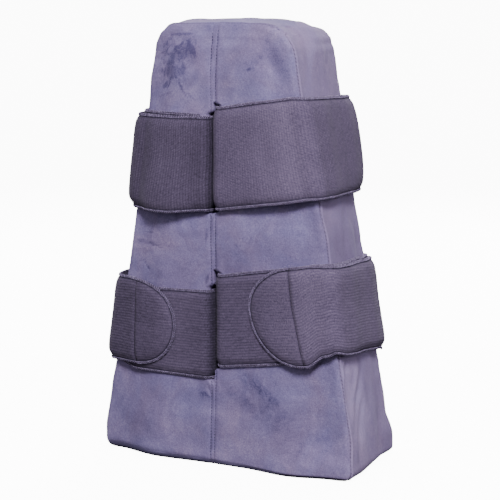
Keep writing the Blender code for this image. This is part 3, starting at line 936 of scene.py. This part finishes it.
def body_levels():
    base = np.array(FOOT_LEVELS) * MM
    main = np.linspace(BODY_START * MM, SEAM_TOP - EDGE_R, BODY_LEVELS, endpoint=False)
    roll = SEAM_TOP - EDGE_R * (1.0 - np.sin(np.array(ROLL_WAYS + (1.0,)) * QUARTER))
    crown = np.sin(np.arange(1, CROWN_LEVELS) / CROWN_LEVELS * QUARTER) ** 2
    return np.concatenate([base, main, roll, SEAM_TOP + TOP_CROWN * crown])


def face_weights(side, stop):
    """How much a place belongs to the front, the back and the two sides of the wedge."""
    front = 1.0 - ease((stop - TURN_FRONT) / TURN_RUN)
    back = ease((stop - TURN_BACK) / TURN_RUN)
    strip = 1.0 - front - back
    right = np.where(side > 0, strip, 0.0)
    left = np.where(side < 0, strip, 0.0)
    return {"front": front, "back": back, "right": right, "left": left}


def flat_rows(table):
    """Rows of a table grouped by face, each with its face in front."""
    return [(face, *row) for face, rows in table.items() for row in rows]


def across_of(face, x, y):
    return x if face in ("front", "back") else y


def fold_relief(weights, x, y, z):
    """Height of the listed creases and small folds."""
    total = np.zeros_like(x)
    for face, across1, up1, across2, up2, height, half_width in flat_rows(FOLDS):
        u = across_of(face, x, y) / MM - across1
        v = z / MM - up1
        run_u = across2 - across1
        run_v = up2 - up1
        length = math.hypot(run_u, run_v)
        along = (u * run_u + v * run_v) / length
        bow = 0.05 * length * np.sin(np.clip(along / length, 0.0, 1.0) * math.pi)
        off = (u * run_v - v * run_u) / length - bow
        fade = 0.35 * length
        ends = ease(along / fade + 0.3) * ease((length - along) / fade + 0.3)
        total += weights[face] * height * MM * ends * bell(off, half_width)
    return total


def blob_marks(table, weights, x, y, z):
    """Strength of a table's soft oval patches."""
    total = np.zeros_like(x)
    for face, across, up, half_length, half_width, slant, strength in flat_rows(table):
        u = across_of(face, x, y) / MM - across
        v = z / MM - up
        turn = math.radians(slant)
        along = (u * math.cos(turn) + v * math.sin(turn)) / half_length
        off = (v * math.cos(turn) - u * math.sin(turn)) / half_width
        inside = 1.0 - ease((np.hypot(along, off) - 0.35) / 0.9)
        total = np.maximum(total, weights[face] * strength * inside)
    return total


def hem_height(x):
    """Height of the seam that joins the panels to the base."""
    return mix(HEM_LEFT, HEM_RIGHT, ease((x + 0.12) / 0.24))


def body_relief(side, stop, z, x, y):
    """Height of all fine forms over the even skin, the painted shade in the sunk seams and on the
    turned-under strip, and the painted shade in the edge seam's groove.
    """
    weights = face_weights(side, stop)
    from_seam = (edge_turn(stop, z) - SEAM_WAY) * EDGE_R * QUARTER
    groove = bell(from_seam, EDGE_GROOVE_W)
    ridges = bell(np.abs(from_seam) - EDGE_RIDGE_AT, EDGE_RIDGE_W)
    hem = bell(z - hem_height(x), HEM_GROOVE_W) * ease((3.4 - from_slot(stop)) / 0.3)
    relief = EDGE_RIDGE * ridges - EDGE_GROOVE * groove - HEM_GROOVE * hem
    relief += fold_relief(weights, x, y, z)
    # Soft unevenness, held low so that the straps stay clear of it
    waves = np.zeros_like(x)
    across = np.where(weights["front"] + weights["back"] > 0.5, x, y * 1.3)
    for height, wide, tall, phase in WAVES:
        place = 2.0 * math.pi * (across / wide + z / tall)
        waves += height * np.sin(place + phase + side + 0.7 * (y > 0))
    relief += (waves - 0.4) * MM * ease((z - 0.004) / 0.02)
    # Small puckers where the sewing draws the cloth in
    along = z + 0.6 * x * (z > SEAM_TOP - 0.02)
    pucker = noise(along / PUCKER_PITCH, stop, PUCKER_SEED)
    pucker = pucker * bell(np.abs(from_seam) - PUCKER_AT, PUCKER_W)
    relief += PUCKER * pucker * ease(np.abs(from_seam) / 0.002)
    # Painted shade on the turned-under strip below the hem and in the hem's groove
    under = ease((hem_height(x) - z) / 0.001) * (z < 0.0075)
    sunk_shade = np.maximum(HEM_SHADE * hem ** 2, UNDER_SHADE * under)
    return relief, sunk_shade, groove ** 2


def end_cap(count):
    """Faces that close a ring whose two halves, one a side, each have that many points."""
    cap = [(0, 2 * count - 1, count, count - 1)]
    for k in range(count // 2):
        right = (k + 1, k, count - 1 - k, count - 2 - k)
        left = (2 * count - 1 - k, 2 * count - 2 - k, count + k + 1, count + k)
        cap += [tuple(dict.fromkeys(right)), tuple(dict.fromkeys(left))]
    return cap


def build_wedge(material):
    stops = body_stops()
    levels = body_levels()
    count = len(stops)
    ring_stops = np.concatenate([stops, stops[::-1]])
    ring_sides = np.concatenate([np.ones(count), -np.ones(count)])
    z, stop = np.meshgrid(levels, ring_stops, indexing="ij")
    side = np.broadcast_to(ring_sides, z.shape)
    x, y = surface(side, stop, z)
    relief, sunk_shade, sewn = body_relief(side, stop, z, x, y)
    points = np.stack([x, y, z - crest_sag(x, z)], axis=-1)
    round_way = np.roll(points, -1, axis=1) - np.roll(points, 1, axis=1)
    normal = np.cross(round_way, np.gradient(points, axis=0))
    normal /= np.linalg.norm(normal, axis=2, keepdims=True) + 1e-12
    opened = slot_share(side, face_of(stop), z)
    relief = relief * (1.0 - opened * (from_slot(stop) < 1.4))
    relief[0] = 0.0
    points = points + normal * relief[..., None]
    points[..., 2] = np.maximum(points[..., 2], 0.0)
    points[0, :, 2] = 0.0
    faces = grid_faces(len(levels), 2 * count, closed=True)
    last = (len(levels) - 1) * 2 * count
    cap = end_cap(count)
    faces += cap
    faces += [tuple(last + i for i in reversed(face)) for face in cap]
    weights = face_weights(side, stop)
    strip = (weights["right"] + weights["left"]) * ease((edge_turn(stop, z) - 0.5) / 0.1)
    # Painted shade along the two rows of stitch holes beside the centre seam
    rows = bell(np.abs(x - SEAM_X) - stitch_row(z), ROW_W)
    closed = (1.0 - opened) * (from_slot(stop) < 2.5) * (z < SEAM_TOP)
    nap, ruffle, shade, light = (
        blob_marks(table, weights, x, y, z) for table in (NAP_PATCHES, RUFFLES, SHADES, PAINTED_LIGHT_AREAS)
    )
    values = {"nap": nap, "ruffle": ruffle, "strip": strip, "sewn": sewn}
    values["sunk_shade"] = np.maximum(sunk_shade, ROW_SHADE * rows * closed)
    # Tone of the pile: painted light on the boxing strip and in the painted light areas, and darker
    # in the shaded areas, partly painted shade
    values["tone"] = MEAN_TONE + STRIP_PAINTED_LIGHT * strip - shade + light
    piece = new_piece("velour_wedge", points, faces, material, values)
    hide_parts("pillow")


def build_seam_stitches(material):
    """Two rows of stitches beside the centre seam, in front and behind."""
    paths = []
    spread = np.linspace(-0.5, 0.5, 5)
    lift = STITCH_LIFT - STITCH_DIP * np.abs(spread) * 2.0
    for face in (1.0, -1.0):
        for side in (-1.0, 1.0):
            lower, upper = [row[2:] for row in SLOTS if row[:2] == (side, face)]
            spans = ((STITCH_START, lower[0]), (lower[1], upper[0]), (upper[1], SEAM_TOP - EDGE_R))
            for low, high in spans:
                first = low + SLOT_TAPER * 0.5
                middle = np.arange(first, high - SLOT_TAPER * 0.5, STITCH_PITCH)
                z = middle[:, None] + spread * 0.5 * STITCH_PITCH
                share = (stitch_row(z) - SEAM_HALF_GAP) / SEAM_LIP_W
                stop = 1.0 + share if face > 0 else LAST_STOP - 1.0 - share
                x, y = surface(side, stop, z)
                paths.append(np.stack([x, y - lift * face, z - crest_sag(x, z)], axis=-1))
    points, faces = tubes(np.concatenate(paths), STITCH_R, 6)
    return new_piece("seam_stitches", points, faces, material)


# The straps

def strap_height(name, stop, share):
    """Height at a share of the way up a strap, at one stop."""
    rows = STRAP_RUNS[name]
    bottom = table_value(rows, stop, 1, straight)
    top = table_value(rows, stop, 2, straight)
    return mix(bottom, top, share) * MM


def strap_edges(name, stop):
    return strap_height(name, stop, 0.0), strap_height(name, stop, 1.0)


def strap_offset(name, stop, share):
    """Distance from the wedge's skin to the strap's inner face."""
    turned = np.maximum(np.maximum(1.0 - np.abs(stop - 3.5), 1.0 - np.abs(stop - 5.5)), 0.0)
    offset = SKIN_GAP + EDGE_CLEAR * ease(turned * 2.0)
    for centre, reach, rise in BRIDGES:
        offset = offset + hump(stop, centre, reach) * rise * MM
    if name.endswith("inner"):
        return offset
    slot_side = stop - 1.0 if name.startswith("upper") else 8.0 - stop
    offset = offset + (STRAP_THICK + LAYER_GAP) * ease(slot_side)
    for centre, reach, at_bottom, at_middle, at_top in STAND_OFFS.get(name, ()):
        swollen = at_bottom * (1.0 - share) ** 2 + at_middle * 4.0 * share * (1.0 - share)
        offset = offset + hump(stop, centre, reach) * (swollen + at_top * share ** 2) * MM
    if name in EDGE_TUCKS:
        centre, reach, depth = EDGE_TUCKS[name]
        drawn = hump(stop, centre, reach) * depth * MM
        offset = offset - drawn * (1.0 - ease(share / TUCK_SHARE))
    return offset


def panel_stop(side, z, inset, edge):
    """Stop at a height that lies a distance in from an edge of the side."""
    far = np.abs(surface(side, 3.0 + 0.0 * z, z)[0] - surface(side, 2.0 + 0.0 * z, z)[0])
    return edge - inset / far if edge == 3.0 else edge + inset / far


def cloth_point(name, side, stop, z, lift):
    """Point that far out from a strap's inner face, at a stop and a height."""
    low, high = strap_edges(name, stop)
    offset = strap_offset(name, stop, (z - low) / (high - low)) + lift
    x, y = surface(side, stop, z)
    normal_x, normal_y = outward(side, stop, z)
    return np.stack([x + normal_x * offset, y + normal_y * offset, z], axis=-1)


def rib_form(way, up, vertical, seed):
    """Rounded ribs between 0 in a gap and 1 on a rib, a little uneven from rib to rib."""
    across, along = (way, up) if vertical else (up, way)
    drift = RIB_DRIFT * noise(way / RIB_DRIFT_RUN, up / RIB_DRIFT_RUN, seed)
    phase = across / RIB_PITCH + drift
    form = np.abs(np.sin(math.pi * phase)) ** RIB_ROUND
    varied = noise(np.floor(phase) * RIB_VARY_STEP, along / RIB_VARY_RUN, seed + 1)
    return form * (RIB_MEAN + RIB_VARY * varied)


def edge_form(inward):
    """Height of the sewn edge's bead, and the painted shade in the groove beside it."""
    bead = BEAD_RISE * bell(inward - BEAD_AT, BEAD_W)
    return bead, bell(inward - BEAD_WIDE - BESIDE_BEAD, BEAD_W)


def cloth_thickness(inward, layer):
    """Thickness at a distance in from the nearest edge, where the sewing squeezes the cloth."""
    swollen = CLOTH_SWELL * ease(inward / CLOTH_SWELL_RUN) if layer == "outer" else 0.0
    return STRAP_THICK + swollen - EDGE_THIN * (1.0 - ease(inward / EDGE_THIN_RUN))


def section_ways(count, clustered):
    """Shares from 0 to 1 across a strap's outer face, closer together near its edges."""
    even = np.linspace(0.0, 1.0, count)
    return ease(ease(even)) * 0.75 + even * 0.25 if clustered else even


def cloth_section(span, outer, clustered):
    """Closed cross-section: ways up the strap and shares of its thickness, as two lines."""
    soft = np.minimum(STRAP_EDGE_R, 0.4 * span / 2)
    outer_up = soft + (span - 2 * soft) * section_ways(outer, clustered)
    inner_up = soft + (span - 2 * soft) * section_ways(INNER_POINTS, False)[::-1]
    angle = np.linspace(0.0, math.pi, RIM_POINTS + 2)[1:-1]
    top_up = span - soft + soft * np.sin(angle)
    bottom_up = soft - soft * np.sin(angle)
    up = np.concatenate([outer_up, top_up, inner_up, bottom_up], axis=-1)
    rim = 0.5 + 0.5 * np.cos(angle)
    thick = np.concatenate([np.ones(outer), rim, np.zeros(INNER_POINTS), rim[::-1]])
    return up, thick


def cloth_faces(rows, columns, flipped):
    """Ring faces of a cloth strip, with both of its ends closed."""
    ring = range(columns)
    last = (rows - 1) * columns
    faces = grid_faces(rows, columns, closed=True) + [ring[::-1], [last + i for i in ring]]
    return [face[::-1] for face in faces] if flipped else faces


class Strap:
    """One layer of a strap: where its stations lie along its middle line."""

    def __init__(self, pair, side_name, layer):
        self.place = pair + "_" + side_name
        self.name = self.place + "_" + layer
        self.layer = layer
        self.side = SIDES[side_name]
        self.vertical_ribs = pair == "upper"
        self.tab_edge = TAB_EDGE[pair] if layer == "outer" else None
        self.inset, self.lean, self.radius = TABS[self.place]
        first, last = LAYER_ENDS[pair, layer]
        if layer == "outer":
            self.middle = float(strap_height(self.name, np.array([self.tab_edge]), 0.5)[0])
            at_middle = np.array([self.middle])
            self.tab_stop = float(panel_stop(self.side, at_middle, self.inset, self.tab_edge)[0])
            first, last = (self.tab_stop, last) if pair == "lower" else (first, self.tab_stop)
        self.stops = np.linspace(first, last, PATH_STEPS)
        path = self.spot(self.stops, strap_height(self.name, self.stops, 0.5), STRAP_THICK / 2)
        steps = np.linalg.norm(np.diff(path, axis=0), axis=1)
        self.ways = np.concatenate([[0.0], np.cumsum(steps)])
        self.length = float(self.ways[-1])

    def spot(self, stop, z, lift):
        return cloth_point(self.name, self.side, stop, z, lift)

    def leaning_stop(self, z, inset):
        """Stop at a distance from the tab's edge, on a line that leans as the stitch line does."""
        return panel_stop(self.side, z, inset + self.lean * (z - self.middle), self.tab_edge)

    def stop_at(self, way, z):
        """Stop at a distance along the strap; beyond the tab's edge it follows the stitch line."""
        stop = np.interp(way, self.ways, self.stops)
        if self.tab_edge is None:
            return stop
        beyond = stop < self.tab_edge if self.tab_edge == 3.0 else stop > self.tab_edge
        skewed = self.leaning_stop(z, self.inset)
        ratio = (skewed - self.tab_edge) / (self.tab_stop - self.tab_edge)
        return np.where(beyond, self.tab_edge + (stop - self.tab_edge) * ratio, stop)

    def point(self, way, inward, from_top, lift):
        """Point at a way along the strap, a distance in from its bottom or top edge."""
        low, high = strap_edges(self.name, np.interp(way, self.ways, self.stops))
        z = high - inward if from_top else low + inward
        return self.spot(self.stop_at(way, z), z, lift)

    def skin(self, stop, z, way, up, thick, inward, forms, seed):
        """Points of the cloth, and its material's values: its ribs, the painted shade in its sunk
        lines, and its tone with painted shade and painted highlight.
        """
        bead, groove, seam = forms
        is_outer = np.broadcast_to(thick > 0.99, z.shape)
        ribs = rib_form(way, up, self.vertical_ribs, seed)
        inside = ease((inward - BEAD_WIDE) / RIB_START)
        height = -RIB_DEPTH * (1.0 - ribs) * inside + bead
        height = height - BESIDE_BEAD_DIP * groove - TAB_SEAM_DIP * seam
        height = height * (INNER_RELIEF if self.layer == "inner" else 1.0)
        lift = thick * cloth_thickness(inward, self.layer) + np.where(is_outer, height, 0.0)
        sunk_shade = np.clip(groove + TAB_SEAM_SHADE * seam, 0.0, 1.0)
        values = {
            "rib": np.where(is_outer, mix(PLAIN_RIB, ribs, inside), PLAIN_RIB),
            "sunk_shade": np.where(is_outer, sunk_shade, 0.0),
            # Painted shade into the slots and on the left straps' turns, painted highlight on the
            # right straps' turns
            "tone": table_value(CLOTH_TONES_AND_SHADE, stop, TONE_COLUMNS[self.place], ease),
        }
        return self.spot(stop, z, lift), values


def build_strap(pair, side_name, layer, material, thread):
    strap = Strap(pair, side_name, layer)
    station, outer = STRAP_GRIDS[pair]
    ways = np.linspace(0.0, strap.length, int(strap.length / station))
    edges = strap_edges(strap.name, np.interp(ways, strap.ways, strap.stops))
    low, high = edges[0][:, None], edges[1][:, None]
    up, thick = cloth_section(high - low, outer, clustered=strap.vertical_ribs)
    z = low + up
    down = high - low - up
    way = np.broadcast_to(ways[:, None], z.shape)
    bead_low, groove_low = edge_form(up)
    bead_high, groove_high = edge_form(down)
    forms = (bead_low + bead_high, groove_low + groove_high, 0.0)
    stop = strap.stop_at(way, z)
    seed = 11 + len(strap.name)
    points, values = strap.skin(stop, z, way, up, thick, np.minimum(up, down), forms, seed)
    faces = cloth_faces(len(ways), z.shape[1], strap.side < 0)
    flat_map = np.stack([way, np.broadcast_to(up, z.shape)], axis=-1)
    name = "cloth_" + strap.name
    piece = new_piece(name, points, faces, material, values, flat_map)
    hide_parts("strap_" + strap.name)
    edging = build_edging("edging_" + strap.name, strap.point, strap.length, (False, True), thread)
    return strap


# One slanting loop's points along the edge in loop pitches, and in from the edge and out in
# millimetres; the wander of each point goes with its share
LOOP_SLANT = (-0.55, -0.40, -0.15, 0.10, 0.35, 0.55, 0.70)
LOOP_INWARD = (2.1, 1.5, 0.9, 0.2, -0.30, 0.2, 1.5)
LOOP_LIFT = (1.50, 1.65, 1.60, 1.25, 0.55, -0.15, -0.25)
LOOP_WANDER = (1, 0.6, 0.2, 0, 0, 0, 0)


def build_edging(name, point, length, edges, material):
    """Overlocked thread: slanting loops over an edge, and a row of straight stitches beside it."""
    pitches = int(length / LOOP_PITCH)
    middle = ((np.arange(pitches) + 0.5) * length / pitches)[:, None]
    random = np.random.default_rng(len(name) * 7 + pitches)
    slant = np.array(LOOP_SLANT) * LOOP_PITCH
    lift = np.array(LOOP_LIFT) * MM
    run = np.linspace(-0.42, 0.42, 7) * LOOP_PITCH
    arch = (1.20 + 0.45 * np.cos(np.linspace(-1.4, 1.4, 7))) * MM
    paths = []
    for from_top in edges:
        wobble = random.uniform(-0.25, 0.25, (pitches, 1)) * MM
        way = np.clip(middle + slant + wobble * 0.5, 0.0, length)
        inward = np.array(LOOP_INWARD) * MM + wobble * np.array(LOOP_WANDER)
        paths.append(point(way, inward, from_top, np.broadcast_to(lift, way.shape)))
        way = np.clip(middle + run, 0.0, length)
        inward = np.broadcast_to(2.1 * MM, way.shape) + wobble * 0.3
        paths.append(point(way, inward, from_top, np.broadcast_to(arch, way.shape)))
    points, faces = tubes(np.concatenate(paths), THREAD_R, 4)
    return new_piece(name, points, faces, material)


def build_tab(strap, material, thread):
    """The rounded end beyond the outer layer's stitch line."""
    name = strap.place
    radius = strap.radius
    theta = np.linspace(0.0, 1.0, TAB_STATIONS) * QUARTER * TAB_TIP
    reach = np.sin(theta)[:, None] * radius
    half = radius * np.cos(theta)[:, None]
    up, thick = cloth_section(2.0 * half, TAB_POINTS, clustered=True)
    inset = strap.inset + TAB_GAP + reach
    nominal = panel_stop(strap.side, np.full(inset.shape, strap.middle), inset, strap.tab_edge)
    low, high = strap_edges(strap.name, nominal)
    z = (low + high) / 2 - half + up
    from_middle = up - half
    way = np.broadcast_to(reach, z.shape)
    inward = radius - np.hypot(way, from_middle)
    forms = (*edge_form(inward), bell(way, TAB_SEAM_W))
    stop = strap.leaning_stop(z, inset)
    rib_up = from_middle + radius
    inward = np.maximum(inward, 0.0)
    points, values = strap.skin(stop, z, way, rib_up, thick, inward, forms, 31 + len(name))
    flipped = (strap.side < 0) == strap.vertical_ribs
    faces = cloth_faces(TAB_STATIONS, z.shape[1], flipped)
    flat_map = np.stack([way, from_middle + 0.0 * z], axis=-1)
    piece = new_piece("tab_cloth_" + name, points, faces, material, values, flat_map)
    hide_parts("tab_" + name)

    def point(around, inward, _, lift):
        """Point round the tab's edge, a distance in from it."""
        angle = around / radius - QUARTER
        inset = strap.inset + TAB_GAP + (radius - inward) * np.cos(angle)
        level = panel_stop(strap.side, strap.middle + 0.0 * inset, inset, strap.tab_edge)
        z = strap_height(strap.name, level, 0.5) + (radius - inward) * np.sin(angle)
        return strap.spot(strap.leaning_stop(z, inset), z, lift)

    edging = build_edging("tab_edging_" + name, point, math.pi * radius, (True,), thread)


LOOSE_R = 0.00013
LOOSE_LIFT = 0.0018
LOOSE_ROOTS = (0.0, 1.0, 2.0, 3.0, 4.5, 6.0, 7.5, 9.0)
LOOSE_TIPS = (
    # right, towards the viewer, up, in millimetres
    (-3.0, -0.8, 3.2), (1.5, -1.5, 4.2), (3.5, -1.0, 2.4), (-1.2, -1.8, 4.8),
    (4.2, -0.6, 3.0), (-2.2, -1.0, 3.8), (2.6, -1.4, 4.4), (5.0, -0.9, 1.8),
)
LOOSE_DROOP = (0.0, -0.3, -1.6)


def build_loose_threads(strap, material):
    """A few loose thread ends where the lower right tab is sewn on."""
    ways = np.array(LOOSE_ROOTS) * MM
    roots = strap.point(ways, np.zeros(len(ways)), True, np.full(len(ways), LOOSE_LIFT))
    share = np.linspace(0.0, 1.0, 8)[None, :, None]
    reach = np.array(LOOSE_TIPS)[:, None] * MM * share
    paths = roots[:, None] + reach + np.array(LOOSE_DROOP) * MM * share ** 3
    points, faces = tubes(paths, LOOSE_R, 5)
    return new_piece("loose_threads", points, faces, material)


# Floor, light and camera

def build_stage():
    """A pale round floor that curves up into a backdrop on all sides."""
    bends = np.arange(1, FLOOR_BENDS + 1) * QUARTER / FLOOR_BENDS
    profile = [(0.01, 0.0), (FLOOR_R, 0.0)]
    profile += [(FLOOR_R + math.sin(bend), 1.0 - math.cos(bend)) for bend in bends]
    profile += [(FLOOR_R + 1.0, WALL_TOP)]
    turns = np.arange(FLOOR_TURNS) * 2.0 * math.pi / FLOOR_TURNS
    points = [(r * math.cos(t), r * math.sin(t), z) for r, z in profile for t in turns]
    mesh = bpy.data.meshes.new("floor")
    mesh.from_pydata(points, [], grid_faces(len(profile), FLOOR_TURNS, closed=True))
    mesh.shade_smooth()
    floor = bpy.data.objects.new("floor", mesh)
    bpy.context.scene.collection.objects.link(floor)
    n = Nodes("pale_floor")
    n.shader.inputs["Emission Color"].default_value = (1.0, 1.0, 1.0, 1.0)
    n.shader.inputs["Emission Strength"].default_value = FLOOR_GLOW
    mesh.materials.append(n.finish((*FLOOR_COLOUR, 1.0), 0.9))
    floor.visible_diffuse = False
    floor.visible_glossy = False


def build_lights():
    for name, place, aim_height, size, power in LIGHTS:
        lamp = bpy.data.lights.new(name, "AREA")
        lamp.energy = power
        lamp.size = size
        thing = bpy.data.objects.new(name, lamp)
        bpy.context.scene.collection.objects.link(thing)
        thing.location = place
        x, y, z = place
        tilt = math.atan2(math.hypot(x, y), z - aim_height)
        thing.rotation_euler = (tilt, 0.0, math.atan2(-y, -x) - QUARTER)
    world = bpy.data.worlds.new("studio")
    world.use_nodes = True
    back = world.node_tree.nodes["Background"]
    back.inputs["Color"].default_value = (1.0, 1.0, 1.0, 1.0)
    back.inputs["Strength"].default_value = WORLD_STRENGTH
    bpy.context.scene.world = world


def build_camera():
    data = bpy.data.cameras.new("camera")
    data.lens = CAMERA_LENS
    data.sensor_width = CAMERA_SENSOR
    camera = bpy.data.objects.new("camera", data)
    camera.location = CAMERA_PLACE
    camera.rotation_euler = [math.radians(angle) for angle in CAMERA_TURN]
    bpy.context.scene.collection.objects.link(camera)
    bpy.context.scene.camera = camera


def build_all():
    build_camera()
    build_lights()
    build_stage()
    thread = thread_material("edge_thread", (0.165, 0.132, 0.225))
    build_wedge(velour_material())
    # The seam stitches are darker than the pile: painted shade of their sunk holes
    build_seam_stitches(thread_material("shaded_seam_thread", (0.040, 0.034, 0.075)))
    for pair in PAIRS:
        for side_name in SIDES:
            name = pair + "_" + side_name
            cloth = strap_material("cloth_" + name, *CLOTH_LOOKS[name], pair == "upper")
            for layer in ("inner", "outer"):
                strap = build_strap(pair, side_name, layer, cloth, thread)
            build_tab(strap, cloth, thread)
    build_loose_threads(strap, thread)


build_all()
